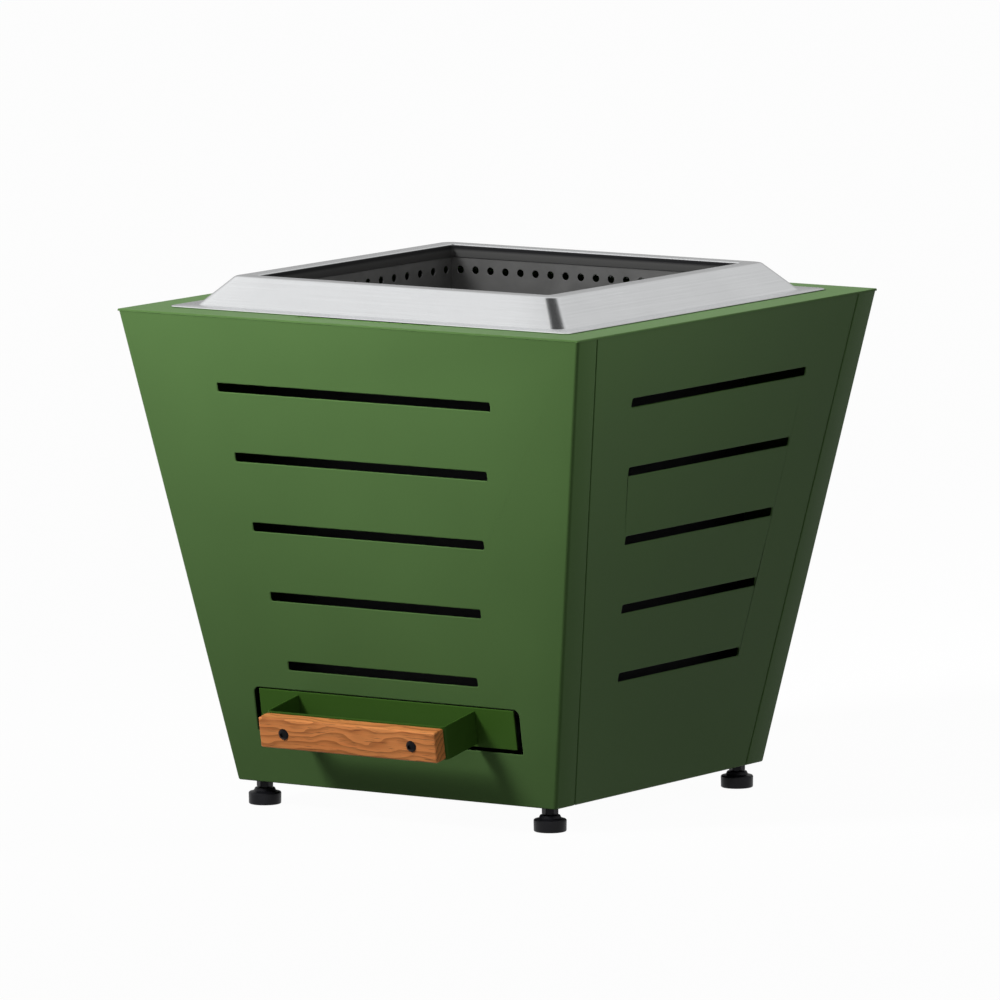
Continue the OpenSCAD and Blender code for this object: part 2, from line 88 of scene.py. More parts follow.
RIM_LOW, RIM_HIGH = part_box("rim_frame")
RING_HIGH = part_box("fire_ring")[1].z
CHAMBER_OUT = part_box("chamber_front")[1].x      # half the width over the chamber's walls
HOUSING_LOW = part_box("front_panel")[0].z
LEAN = math.atan((RIM_HIGH.x - BODY_BOTTOM / 2) / (RIM_HIGH.z - HOUSING_LOW))

BODY_OF = {node: body for body, nodes in frame["record"]["behaviour"]["bodies"].items()
           for node in nodes}
SLOT_OF = {row["node"]: row["material_slot"] for row in frame["record"]["subparts"]}
CORNERS = ("front_left", "front_right", "rear_left", "rear_right")


# ---- finishes: a node-making method and numbers with operators -------------------------------

GREEN = (0.076, 0.146, 0.046)
DRAWER_SHADE_GREEN = (0.044, 0.108, 0.016)     # painted shade: the drawer's front and its bracket take the green made darker, for the handle's shadow
PAINTED_SHADE_BLACK = (0.008, 0.008, 0.009)       # painted shade in black: the shadow line under the ring's top, and the chamber's dark outer faces
HEAT_TINT = (0.09, 0.07, 0.055)          # the brown of heated steel
LIP_SHADE_GREY = (0.06, 0.06, 0.059)           # painted shade in grey on the lip inside the ring's mouth, standing in for the dark interior it mirrors
OAK_EARLY = ((0.80, 0.262, 0.073), (0.97, 0.365, 0.112))     # two boards' early wood
OAK_LATE = (0.42, 0.115, 0.030)
OAK_FIBRE = (1.0, 0.50, 0.19)
OAK_PORE = (0.10, 0.030, 0.012)


class Value:
    """A node's output. Python's operators on it add Math nodes."""

    def __init__(self, finish, socket):
        self.finish = finish
        self.socket = socket

    def math(self, operation, *others):
        inputs = dict(enumerate((self, *others)))
        return self.finish.node("ShaderNodeMath", inputs, operation=operation)

    def __add__(self, other):
        return self.math("ADD", other)

    def __sub__(self, other):
        return self.math("SUBTRACT", other)

    def __rsub__(self, other):
        return self.finish.node("ShaderNodeMath", {0: other, 1: self}, operation="SUBTRACT")

    def __mul__(self, other):
        return self.math("MULTIPLY", other)

    def __pow__(self, other):
        return self.math("POWER", other)

    __radd__ = __add__
    __rmul__ = __mul__

    def between(self, low, high):
        """0 up to low, 1 from high, and a straight ramp in between."""
        return self.finish.node("ShaderNodeMapRange", {0: self, 1: low, 2: high}, clamp=True)


class Finish:
    """A material, or the world, that node() fills with nodes."""

    def __init__(self, name, owner=None):
        self.owner = owner or bpy.data.materials.new(name)
        self.owner.use_nodes = True
        self.tree = self.owner.node_tree
        self.tree.nodes.clear()

    def node(self, kind, inputs=None, output=0, **settings):
        """Adds a node: first its settings, then its sockets' values or links."""
        made = self.tree.nodes.new(kind)
        for key, value in settings.items():
            setattr(made, key, value)
        for key, value in (inputs or {}).items():
            if isinstance(value, Value):
                self.tree.links.new(value.socket, made.inputs[key])
            else:
                made.inputs[key].default_value = value
        return Value(self, made.outputs[output]) if made.outputs else None

    def place(self, scale=(1, 1, 1)):
        """Object coordinates, scaled."""
        spot = self.node("ShaderNodeTexCoord", output="Object")
        return self.node("ShaderNodeMapping", {"Vector": spot, "Scale": scale})

    def coordinate(self, axis):
        """One of the Object coordinates: 0 is X, 1 is Y and 2 is Z."""
        spot = self.node("ShaderNodeTexCoord", output="Object")
        return self.node("ShaderNodeSeparateXYZ", {0: spot}, output=axis)

    def square_distance(self):
        """How far a point stands from the stove's centre line, measured to the side of a square."""
        across, deep = self.coordinate(0).math("ABSOLUTE"), self.coordinate(1).math("ABSOLUTE")
        return across.math("MAXIMUM", deep)

    def noise(self, place, scale, detail=2.0, roughness=0.5, distortion=0.0):
        inputs = {"Vector": place, "Scale": scale, "Detail": detail,
                  "Roughness": roughness, "Distortion": distortion}
        return self.node("ShaderNodeTexNoise", inputs)

    def blend(self, share, first, second):
        """The colour first where share is 0 and second where it is 1."""
        inputs = {0: share, 6: rgba(first), 7: rgba(second)}
        return self.node("ShaderNodeMix", inputs, output=2, data_type="RGBA")

    def bump(self, height, distance):
        return self.node("ShaderNodeBump", {"Height": height, "Distance": distance})

    def surface(self, **sockets):
        """A Principled surface; an underscore in a name stands for a space."""
        inputs = {key.replace("_", " "): value for key, value in sockets.items()}
        shader = self.node("ShaderNodeBsdfPrincipled", inputs)
        self.node("ShaderNodeOutputMaterial", {"Surface": shader})
        return self.owner


def rgba(colour):
    """A colour as a socket takes it; a Value passes through."""
    return colour if isinstance(colour, Value) else (*colour, 1)


def shade(colour, factor):
    """A colour made darker or lighter."""
    return tuple(min(1.0, channel * factor) for channel in colour)


def powder_coat(name, colour, roughness, level):
    """Satin powder coat: fine orange peel, a grain of pigment and slow drifts of tone."""
    finish = Finish(name)
    place = finish.place()
    drift = finish.noise(place, 7, 2)
    peel = finish.noise(place, 520, 2, 0.55)
    grain = finish.noise(place, 2400, 1)
    tone = drift * 0.55 + grain * 0.45
    return finish.surface(
        Base_Color=finish.blend(tone.between(0.3, 0.7), shade(colour, 0.93), shade(colour, 1.07)),
        Roughness=(peel * 0.10 + drift * 0.08) + (roughness - 0.09),
        Specular_IOR_Level=level,
        Normal=finish.bump(peel + grain * 0.35, 0.05 * MM),
    )


def brushed_steel(name, colour, roughness, spread):
    """Brushed sheet: hair lines along the map's first direction, with soft cloudy patches. The lip
    inside the ring's mouth is painted a dull dark grey, as painted shade for the dark interior that
    it mirrors, and a black band along its upper edge is a painted shadow line."""
    finish = Finish(name)
    run = finish.node("ShaderNodeUVMap", uv_map="run")
    along_hairs = finish.node("ShaderNodeMapping", {"Vector": run, "Scale": (9, 2600, 1)})
    along_bands = finish.node("ShaderNodeMapping", {"Vector": run, "Scale": (3, 420, 1)})
    lines = finish.noise(along_hairs, 1, 4, 0.65)
    wide = finish.noise(along_bands, 1, 3, 0.6)
    cloud = finish.noise(finish.place(), 16, 3)
    tone = lines * 0.45 + wide * 0.3 + cloud * 0.25
    steel = finish.blend(tone.between(0.32, 0.68), shade(colour, 0.9), shade(colour, 1.07))
    lip_back = MOUTH / 2 + RING_STEEL
    inside = 1 - finish.square_distance().between(lip_back, lip_back + 0.3 * MM)
    drop = RING_HIGH - finish.coordinate(2)
    lip = inside * drop.between(0.5 * MM, 1.0 * MM)
    # Painted shade: black along the lip's upper edge and dark grey below it.
    lip_painted_shade = finish.blend(drop.between(3.6 * MM, 6.0 * MM), PAINTED_SHADE_BLACK, LIP_SHADE_GREY)
    return finish.surface(
        Base_Color=finish.blend(lip, steel, lip_painted_shade),
        Metallic=1 - lip * 0.5,
        Roughness=lines * spread + cloud * 0.08 + lip * 0.3 + (roughness - spread / 2 - 0.04),
        Normal=finish.bump(lines + wide * 0.8, 0.035 * MM),
    )


def chamber_sheet(name, colour):
    """Dull rolled steel of the fire chamber, faintly mottled by heat towards the grate. Its outer
    faces, past the middle of the walls, are painted black, as painted shade, so that the inside of
    the housing looks dark through the slots."""
    finish = Finish(name)
    place = finish.place()
    mottle = finish.noise(place, 26, 5, 0.62, 0.6)
    rolled = finish.noise(finish.place(scale=(1, 1, 24)), 90, 3)
    low_down = 1 - finish.coordinate(2).between(130 * MM, 330 * MM)
    heat = low_down * mottle.between(0.35, 0.7) * 0.6
    steel = finish.blend(mottle.between(0.3, 0.7), shade(colour, 0.86), shade(colour, 1.12))
    middle = CHAMBER_OUT - RING_STEEL / 2
    # Painted shade: the chamber's outer faces are painted black, less metallic and rougher.
    outer_face_shade = finish.square_distance().between(middle - 0.15 * MM, middle + 0.25 * MM)
    return finish.surface(
        Base_Color=finish.blend(outer_face_shade, finish.blend(heat, steel, HEAT_TINT), PAINTED_SHADE_BLACK),
        Metallic=0.85 - outer_face_shade * 0.6,
        Roughness=mottle * 0.16 + rolled * 0.1 + outer_face_shade * 0.2 + 0.36,
        Normal=finish.bump(rolled + mottle * 0.7, 0.06 * MM),
    )


def galvanised(name, colour, cell):
    """Zinc-coated sheet: flat crystals of slightly different tone."""
    finish = Finish(name)
    place = finish.place()
    inputs = {"Vector": place, "Scale": 1 / cell}
    crystal = finish.node("ShaderNodeTexVoronoi", inputs, output="Color", voronoi_dimensions="3D")
    spangle = finish.node("ShaderNodeSeparateColor", {0: crystal})
    grain = finish.noise(place, 900, 2)
    tone = spangle * 0.7 + grain * 0.3
    return finish.surface(
        Base_Color=finish.blend(tone.between(0.1, 0.9), shade(colour, 0.82), shade(colour, 1.12)),
        Metallic=0.95,
        Roughness=spangle * 0.14 + grain * 0.1 + 0.28,
        Normal=finish.bump(grain, 0.02 * MM),
    )


def cast_iron(name, colour):
    """Sand-cast iron: a pebbled skin with small pits."""
    finish = Finish(name)
    place = finish.place()
    sand = finish.noise(place, 750, 4, 0.7)
    swell = finish.noise(place, 60, 3)
    pit = finish.node("ShaderNodeTexVoronoi", {"Vector": place, "Scale": 330})
    return finish.surface(
        Base_Color=finish.blend(sand.between(0.3, 0.7), shade(colour, 0.75), shade(colour, 1.5)),
        Metallic=0.35,
        Roughness=sand * 0.2 + swell * 0.1 + 0.5,
        Normal=finish.bump(sand + swell * 1.5 + pit.between(0, 0.3) * 0.5, 0.25 * MM),
    )


def oak(name):
    """Oiled flat-sawn oak. Year rings are cylinders round a pith line that runs along the bar,
    below and behind it, and they sway along the grain; fibres are pale, and pores are short dark
    strokes."""
    finish = Finish(name)
    rings_per_metre = 210
    sway = finish.noise(finish.place(scale=(15, 42, 42)), 1, 2, 0.5)
    deep = finish.coordinate(1) + 150 * MM
    high = finish.coordinate(2) - 12 * MM
    radius = (deep * deep + high * high) ** 0.5
    ring = (radius * rings_per_metre + sway * 4.2).math("FRACT").between(0.0, 0.85)
    late = ring ** 2.2
    fibre = finish.noise(finish.place(scale=(26, 900, 900)), 1, 4, 0.7)
    pore = finish.noise(finish.place(scale=(55, 1500, 1500)), 1, 2, 0.6).between(0.60, 0.70)
    board = finish.noise(finish.place(scale=(4, 18, 18)), 1, 2)
    early = finish.blend(board.between(0.3, 0.7), *OAK_EARLY)
    ringed = finish.blend(late * 0.8, early, OAK_LATE)
    fibred = finish.blend(fibre.between(0.35, 0.75) * 0.3, ringed, OAK_FIBRE)
    return finish.surface(
        Base_Color=finish.blend(pore * 0.7, fibred, OAK_PORE),
        Roughness=late * 0.06 + fibre * 0.14 + 0.42,
        Specular_IOR_Level=0.2,
        Normal=finish.bump(fibre * 0.6 - pore - late * 0.25, 0.10 * MM),
    )


def blackened(name, colour, roughness, metallic, level, scale=900):
    """Black oxide or moulded black plastic: a fine even grain with faint rubbed patches."""
    finish = Finish(name)
    place = finish.place()
    grain = finish.noise(place, scale, 2)
    rub = finish.noise(place, 90, 3, 0.6)
    return finish.surface(
        Base_Color=finish.blend(rub.between(0.45, 0.75), colour, shade(colour, 1.9)),
        Metallic=metallic,
        Roughness=grain * 0.12 + rub * 0.1 + (roughness - 0.11),
        Specular_IOR_Level=level,
        Normal=finish.bump(grain, 0.03 * MM),
    )


FINISHES = {
    "green_coat": powder_coat("green_coat", GREEN, 0.46, 0.06),
    "dark_coat": powder_coat("dark_coat", (0.030, 0.034, 0.030), 0.6, 0.2),
    "zinc_steel": galvanised("zinc_steel", (0.56, 0.57, 0.58), 2.5 * MM),
    "brushed_ring": brushed_steel("brushed_ring", (0.82, 0.83, 0.84), 0.24, 0.14),
    "chamber_steel": chamber_sheet("chamber_steel", (0.20, 0.20, 0.197)),
    "cast_grate": cast_iron("cast_grate", (0.030, 0.030, 0.032)),
    "tray_steel": galvanised("tray_steel", (0.40, 0.41, 0.41), 9 * MM),
    "oak": oak("oak"),
    "black_steel": blackened("black_steel", (0.006, 0.006, 0.007), 0.34, 0.3, 0.12),
    "foot_plastic": blackened("foot_plastic", (0.010, 0.010, 0.012), 0.40, 0.0, 0.16, 1600),
}


# Painted shade: the drawer's fascia and handle bracket take a darker copy of the green coat.
DRAWER_SHADED_COAT = powder_coat("green_coat_drawer_painted_shade", DRAWER_SHADE_GREEN, 0.46, 0.06)
NODE_FINISHES = {"drawer_fascia": DRAWER_SHADED_COAT, "handle_bracket": DRAWER_SHADED_COAT}


# ---- surfaces --------------------------------------------------------------------------------

def filleted(points, radii, steps=6):
    """An open 2-D line through points, each inner corner replaced by an arc of its radius.
    The arc runs between the two tangent points, which are radius / tan(half the corner's angle)
    from the corner, and turns evenly about a centre on the corner's bisector."""
    points = np.array(points, float)
    line = [points[:1]]
    for before, corner, after, radius in zip(points, points[1:], points[2:], radii):
        back = (before - corner) / np.linalg.norm(before - corner)
        ahead = (after - corner) / np.linalg.norm(after - corner)
        half = math.acos(np.clip(back @ ahead, -1, 1)) / 2
        bisector = (back + ahead) / np.linalg.norm(back + ahead)
        centre = corner + bisector * radius / math.sin(half)
        first = corner + back * radius / math.tan(half) - centre
        last = corner + ahead * radius / math.tan(half) - centre
        turn = math.pi - 2 * half
        t = np.linspace(0, 1, steps)[:, None]
        line.append(centre + (np.sin((1 - t) * turn) * first + np.sin(t * turn) * last)
                    / math.sin(turn))
    line.append(points[-1:])
    return np.vstack(line)


def sheet_section(line, thickness, end_steps=3):
    """The closed outline of a sheet whose middle follows line: the line moved to both sides
    along its normals, with half-round ends."""
    step = np.diff(line, axis=0)
    step /= np.linalg.norm(step, axis=1)[:, None]
    tangent = np.vstack([step[:1], step[1:] + step[:-1], step[-1:]])
    tangent /= np.linalg.norm(tangent, axis=1)[:, None]
    normal = np.column_stack([-tangent[:, 1], tangent[:, 0]])
    half = thickness / 2
    turn = np.linspace(0, math.pi, end_steps + 2)[1:-1, None]
    last = line[-1] + half * (np.cos(turn) * normal[-1] + np.sin(turn) * tangent[-1])
    first = line[0] - half * (np.cos(turn) * normal[0] + np.sin(turn) * tangent[0])
    return np.vstack([line + half * normal, last, (line - half * normal)[::-1], first])


def square_course(side_steps, arc_steps):
    """A round-cornered square as two unit parts, so that a point of the course is
    (half - radius) * part one + radius * part two: part one goes from corner to corner,
    and part two turns through a quarter circle at each corner and rests along each side."""
    corners, turns = [], []
    arc = np.linspace(0, math.pi / 2, arc_steps)
    side = np.linspace(0, 1, side_steps + 2)[1:-1, None]
    for quarter in range(4):
        angle = arc + quarter * math.pi / 2
        here = np.sign(np.cos(np.mean(angle) + np.array([0, -math.pi / 2])))
        there = np.array([-here[1], here[0]])
        rest = np.array([np.cos(angle[-1]), np.sin(angle[-1])])
        corners += [np.tile(here, (arc_steps, 1)), here + side * (there - here)]
        turns += [np.column_stack([np.cos(angle), np.sin(angle)]), np.tile(rest, (side_steps, 1))]
    return np.vstack(corners), np.vstack(turns)


def framed(section, radius, side_steps, arc_steps):
    """A section (distance from the centre line, height) carried round a round-cornered square.
    radius gives the corner radius for each point of the section."""
    corner, turn = square_course(side_steps, arc_steps)
    inner = (section[:, 0] - radius)[:, None, None]
    flat = inner * corner + radius[:, None, None] * turn
    height = np.broadcast_to(section[:, 1, None, None], (*flat.shape[:2], 1))
    return np.concatenate([flat, height], axis=2)


def turned(profile, steps=64, shape=None):
    """A profile (radius, height) turned about Z. shape(angle, radius, height) may change the
    radius, as for a hexagon or a thread."""
    angle = np.linspace(0, 2 * math.pi, steps, endpoint=False)[None, :]
    radius = np.array(profile, float)[:, 0, None] + 0 * angle
    height = np.array(profile, float)[:, 1, None] + 0 * angle
    if shape:
        radius = shape(angle, radius, height)
    return np.stack([radius * np.cos(angle), radius * np.sin(angle), height], axis=2)


def hexagon(angle, across_flats):
    """Distance from a hexagon's centre to its side, in the direction angle."""
    sixth = math.pi / 3
    return across_flats / 2 / np.cos((angle + sixth / 2) % sixth - sixth / 2)


def quads(rows, columns, closed_rows, closed_columns):
    """Corner numbers of the cells of a grid whose ends may join up."""
    i, j = np.meshgrid(np.arange(rows if closed_rows else rows - 1),
                       np.arange(columns if closed_columns else columns - 1), indexing="ij")
    i, j = i.ravel(), j.ravel()
    up, along = (i + 1) % rows, (j + 1) % columns
    return np.column_stack([i, j, i, along, up, along, up, j]).reshape(-1, 4, 2)


def make_mesh(name, grids):
    """One mesh from grids, each (points, closed rows, closed columns). Points that fall together
    are merged, which closes poles and seams, and the faces are turned outwards. The map "run"
    holds each corner's distance along its column direction and its row direction."""
    points, faces, maps, start = [], [], [], 0
    for grid, closed_rows, closed_columns in grids:
        rows, columns = grid.shape[:2]
        cells = quads(rows, columns, closed_rows, closed_columns)
        faces.append(cells[..., 0] * columns + cells[..., 1] + start)
        along = np.linalg.norm(np.roll(grid, -1, 1) - grid, axis=2).mean(0).cumsum()
        across = np.linalg.norm(np.roll(grid, -1, 0) - grid, axis=2).mean(1).cumsum()
        along, across = np.concatenate([[0], along]), np.concatenate([[0], across])
        nudge = np.array([[0, 0], [0, 1], [1, 1], [1, 0]])
        first = cells[:, :1, :] + nudge
        maps.append(np.stack([along[first[..., 1]], across[first[..., 0]]], axis=2))
        points.append(grid.reshape(-1, 3))
        start += rows * columns
    points, faces, maps = np.vstack(points), np.vstack(faces), np.vstack(maps)
    mesh = bpy.data.meshes.new(name)
    mesh.vertices.add(len(points))
    mesh.vertices.foreach_set("co", points.ravel())
    mesh.loops.add(faces.size)
    mesh.loops.foreach_set("vertex_index", faces.ravel())
    mesh.polygons.add(len(faces))
    mesh.polygons.foreach_set("loop_start", np.arange(0, faces.size, 4))
    mesh.update(calc_edges=True)
    mesh.uv_layers.new(name="run").data.foreach_set("uv", maps.ravel())
    tidy(mesh)
    return mesh


def tidy(mesh, flat_angle=None):
    """Merges doubles, joins coplanar faces if an angle is given, and turns faces outwards."""
    work = bmesh.new()
    work.from_mesh(mesh)
    bmesh.ops.remove_doubles(work, verts=work.verts, dist=0.001 * MM)
    if flat_angle:
        bmesh.ops.dissolve_limit(work, angle_limit=flat_angle, verts=work.verts, edges=work.edges)
    bmesh.ops.recalc_face_normals(work, faces=work.faces)
    work.to_mesh(mesh)
    work.free()
    if "custom_normal" in mesh.attributes:
        mesh.attributes.remove(mesh.attributes["custom_normal"])


def sharp_edges(mesh, crease=35):
    """Which of a mesh's edges turn by more than the crease angle, as an array of truths."""
    work = bmesh.new()
    work.from_mesh(mesh)
    turns = [edge.calc_face_angle(0) for edge in work.edges]
    work.free()
    return np.array(turns) > math.radians(crease)


def show(name, mesh, nodes, crease=35):
    """Shows a mesh in place of CAD nodes of one body and one finish."""
    piece = bpy.data.objects.new(name, mesh)
    bpy.context.scene.collection.objects.link(piece)
    mesh.shade_smooth()
    mesh.set_sharp_from_angle(angle=math.radians(crease))
    mesh.materials.clear()
    mesh.materials.append(NODE_FINISHES.get(nodes[0], FINISHES[SLOT_OF[nodes[0]]]))
    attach(piece, BODY_OF[nodes[0]])
    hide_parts(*nodes)
    return piece


def softened(node, edge, segments=2):
    """A copy of a CAD node whose sharp edges are rounded off, as folded or cut sheet is. Edges
    that lie in the joint between the panels and the rim frame stay sharp and closed."""
    mesh = frame["nodes"][node].data.copy()
    mesh.name = node + "_finished"
    tidy(mesh, math.radians(0.4))
    ends = np.empty(2 * len(mesh.edges), int)
    mesh.edges.foreach_get("vertices", ends)
    spots = np.empty(3 * len(mesh.vertices))
    mesh.vertices.foreach_get("co", spots)
    heights = spots[2::3][ends.reshape(-1, 2)]
    in_joint = np.abs(heights - RIM_LOW.z).max(axis=1) < 0.05 * MM
    weights = mesh.attributes.new("bevel_weight_edge", "FLOAT", "EDGE")
    weights.data.foreach_set("value", (sharp_edges(mesh) & ~in_joint).astype(float))
    piece = show(node + "_finished", mesh, [node])
    bevel = piece.modifiers.new("edges", "BEVEL")
    bevel.width = edge
    bevel.segments = segments
    bevel.limit_method = "WEIGHT"
    bevel.use_clamp_overlap = False
    bevel.harden_normals = True
    bevel.miter_outer = "MITER_ARC"
    return piece


# ---- places ----------------------------------------------------------------------------------

# Rows: along the front, up its slope and straight out of it
FRONT = np.array([[1, 0, 0],
                  [0, -math.sin(LEAN), math.cos(LEAN)],
                  [0, -math.cos(LEAN), -math.sin(LEAN)]])


def on_front(points, x, s, out):
    """Points whose Z stands out of the sloping front, moved to x along it and s up its slope."""
    origin = np.array([0, -BODY_BOTTOM / 2, HOUSING_LOW])
    return origin + (points + np.array([x, s, out])) @ FRONT


# ---- the fire ring ---------------------------------------------------------------------------

def fire_ring():
    """The ring's sheet: a flange, a sloping face, a flat top and a lip turned down into the
    mouth, with pressed bends, carried round a square whose corner radius grows downwards."""
    low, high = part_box("fire_ring")
    half_sheet = RING_STEEL / 2
    middle = [
        (high.x - half_sheet, low.z + half_sheet),
        (RING_BASE / 2, low.z + half_sheet),
        (RING_TOP / 2 - half_sheet / 2, high.z - half_sheet),
        (MOUTH / 2 + half_sheet, high.z - half_sheet),
        (MOUTH / 2 + half_sheet, high.z - LIP_DROP + half_sheet),
    ]
    section = sheet_section(filleted(middle, RING_BENDS, 7), RING_STEEL)
    reach = np.array([MOUTH, RING_TOP, RING_BASE, 2 * high.x]) / 2
    radius = np.interp(section[:, 0], reach, RING_CORNERS)
    grid = framed(section, radius, side_steps=8, arc_steps=11)
    show("fire_ring_pressed", make_mesh("fire_ring_pressed", [(grid, True, True)]), ["fire_ring"])


# ---- the handle ------------------------------------------------------------------------------

def oak_bar():
    """A planed bar with rounded arrises: a rounded rectangle carried along X. At both ends it
    draws in through a quarter circle, and the flat end face closes on its middle. Each outline
    is share * the flat part + rounding * the corners' turn, at its distance from the end."""
    length, height, depth = BAR
    corner, turn = square_course(6, 5)
    flat_part = (np.array([height, depth]) / 2 - BAR_EDGE) * corner
    t = np.linspace(0, math.pi / 2, 6)
    quarter = np.column_stack([np.ones(6), BAR_EDGE * np.sin(t), BAR_EDGE * (1 - np.cos(t))])
    end = np.vstack([[(0, 0, 0), (0.5, 0, 0)], quarter])
    middles = np.linspace(BAR_EDGE, length - BAR_EDGE, 26)[1:-1]
    body = np.column_stack([np.ones(24), np.full(24, BAR_EDGE), middles])
    far_end = end[::-1] * (1, 1, -1) + (0, 0, length)
    share, rounding, x = np.vstack([end, body, far_end]).T[:, :, None]
    outline = share[..., None] * flat_part + rounding[..., None] * turn
    along = np.broadcast_to((x - length / 2)[..., None], (*outline.shape[:2], 1))
    grid = np.concatenate([along, outline], axis=2)
    grid = on_front(grid, 0, HANDLE_S, BRACKET_OUT + depth / 2)
    show("handle_bar_planed", make_mesh("handle_bar_planed", [(grid, False, True)]), ["handle_bar"])


def bolt_grid():
    """A button-head bolt, its Z along the bolt and 0 under the head: a dome with a hexagonal
    socket, whose wall follows hexagon(), and a shank with a chamfered end."""
    across, head_h = BOLT_HEAD
    half = across / 2
    dome = (half ** 2 + head_h ** 2) / (2 * head_h)
    socket = BOLT_D * 2 / 3
    socket_floor = head_h - 2 * MM
    lead_in = 0.35 * MM                 # from the socket's edge to the dome
    rim = 3.0 * MM                      # the dome starts at this radius
    tip = 0.6 * MM                      # chamfer of the shank's end
    arc = np.linspace(rim, half - 0.25 * MM, 9)
    top = [(0, socket_floor - 0.2 * MM), (0.8 * socket / 2, socket_floor),
           (socket / 2, socket_floor), (socket / 2, head_h - lead_in)]
    crown = np.column_stack([arc, head_h - dome + np.sqrt(dome ** 2 - arc ** 2)])
    under = [(half, 0.35 * MM), (half - 0.1 * MM, 0.05 * MM), (half - 0.4 * MM, 0),
             (BOLT_D / 2, 0), (BOLT_D / 2, tip - BOLT_L), (BOLT_D / 2 - tip, -BOLT_L), (0, -BOLT_L)]
    profile = np.vstack([top, crown, under])
    is_socket = np.arange(len(profile))[:, None] < len(top)

    def hexed(angle, radius, height):
        return np.where(is_socket, radius / (socket / 2) * hexagon(angle, socket), radius)

    return turned(profile, 48, hexed)


def handle_bolts():
    grids = [(on_front(bolt_grid(), side * BOLT_SPAN / 2, HANDLE_S, BRACKET_OUT + BAR[2]),
              False, True) for side in (-1, 1)]
    show("handle_bolts_black", make_mesh("handle_bolts_black", grids), ["handle_bolts"])


def nut_grid(across_flats, height, bore):
    """A hexagonal nut with both faces chamfered: the hexagon, cut by a cone at each end."""
    corner = across_flats / 2 / math.cos(math.pi / 6)
    face = across_flats / 2 * 0.96      # the cone's radius at the nut's face
    drop = (corner - face) * math.tan(math.radians(30))
    rise = np.array([0, 0.5, 1]) * drop
    z = np.concatenate([rise, [height / 2], height - rise[::-1]])
    limit = np.interp(z, [0, drop, height - drop, height], [face, corner, corner, face])
    profile = np.vstack([[(bore, 0)], np.column_stack([limit, z]), [(bore, height)]])
    outer = np.array([False] + [True] * len(z) + [False])[:, None]

    def hexed(angle, radius, _):
        return np.where(outer, np.minimum(radius, hexagon(angle, across_flats)), radius)

    return turned(profile, 72, hexed)


def handle_nuts():
    nut = nut_grid(NUT_AF, NUT_H, BOLT_D / 2 + BOLT_PLAY)
    out = BRACKET_OUT - BRACKET_T - NUT_H
    grids = [(on_front(nut, side * BOLT_SPAN / 2, HANDLE_S, out), True, True)
             for side in (-1, 1)]
    show("handle_nuts_zinc", make_mesh("handle_nuts_zinc", grids), ["handle_nuts"])


# ---- feet ------------------------------------------------------------------------------------

def foot_centre(corner):
    low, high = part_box("foot_pad_" + corner)
    return np.array([(low.x + high.x) / 2, (low.y + high.y) / 2, 0])


def foot_pad(corner):
    """A moulded pad: a disc with rounded edges and a sloping shoulder, and a neck with the
    socket for the stud."""
    low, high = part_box("foot_pad_" + corner)
    radius = (high.x - low.x) / 2
    neck = radius * 0.60
    bore = STUD_D / 2 + STUD_PLAY
    draft = 0.2 * MM
    outline = [(0.0, 0.0), (radius - draft, 0.0), (radius, PAD_H),
               (neck + 1.5 * MM, PAD_H + 0.9 * MM), (neck, PAD_H + NECK_H), (bore, PAD_H + NECK_H)]
    bends = (1.2 * MM, 1.6 * MM, 1.4 * MM, 0.9 * MM)
    wall = filleted(outline, bends, 6)
    socket = [(bore, NECK_H), (0, NECK_H)]
    grid = turned(np.vstack([wall, socket]), 72) + foot_centre(corner)
    name = "foot_pad_" + corner + "_moulded"
    show(name, make_mesh(name, [(grid, False, True)]), ["foot_pad_" + corner])


def foot_stud(corner):
    """A threaded stud with a chamfered hexagonal collar. The thread's radius is
    plain + depth * (triangle(height / pitch - angle / 360 degrees) - 1), which fades out at
    both ends."""
    low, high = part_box("foot_stud_" + corner)
    collar_low = PAD_H + NECK_H + PLAY
    collar_high = HOUSING_LOW + FLANGE - PLAY
    plain = STUD_D / 2 - STUD_PLAY
    tip = 0.4 * MM                      # chamfer of the lower end
    z = np.arange(collar_high, high.z - 1 * MM, STUD_PITCH / 8)
    fade = np.clip((z - z[0]) / STUD_PITCH, 0, 1) * np.clip((z[-1] - z) / STUD_PITCH, 0, 1)
    shaft = np.vstack([np.column_stack([np.full(len(z), plain), z]),
                       [(plain - 1.2 * THREAD_DEPTH, high.z - 0.3 * MM),
                        (plain - 2.4 * THREAD_DEPTH, high.z), (0, high.z)]])
    share = np.concatenate([fade, [0, 0, 0]])[:, None]

    def threaded(angle, radius, height):
        phase = (height / STUD_PITCH - angle / (2 * math.pi)) % 1
        tooth = np.abs(2 * phase - 1) - 1
        return radius + share * THREAD_DEPTH * tooth

    thread = turned(shaft, 40, threaded)
    tail = turned([(0, low.z), (plain - tip, low.z), (plain, low.z + tip),
                   (plain, collar_low + 0.2 * MM)], 40)
    collar = nut_grid(COLLAR_AF, collar_high - collar_low, plain - 0.3 * MM)
    collar[..., 2] += collar_low
    centre = foot_centre(corner)
    grids = [(thread + centre, False, True), (tail + centre, False, True),
             (collar + centre, True, True)]
    name = "foot_stud_" + corner + "_threaded"
    show(name, make_mesh(name, grids), ["foot_stud_" + corner])


# ---- sheet pieces ----------------------------------------------------------------------------

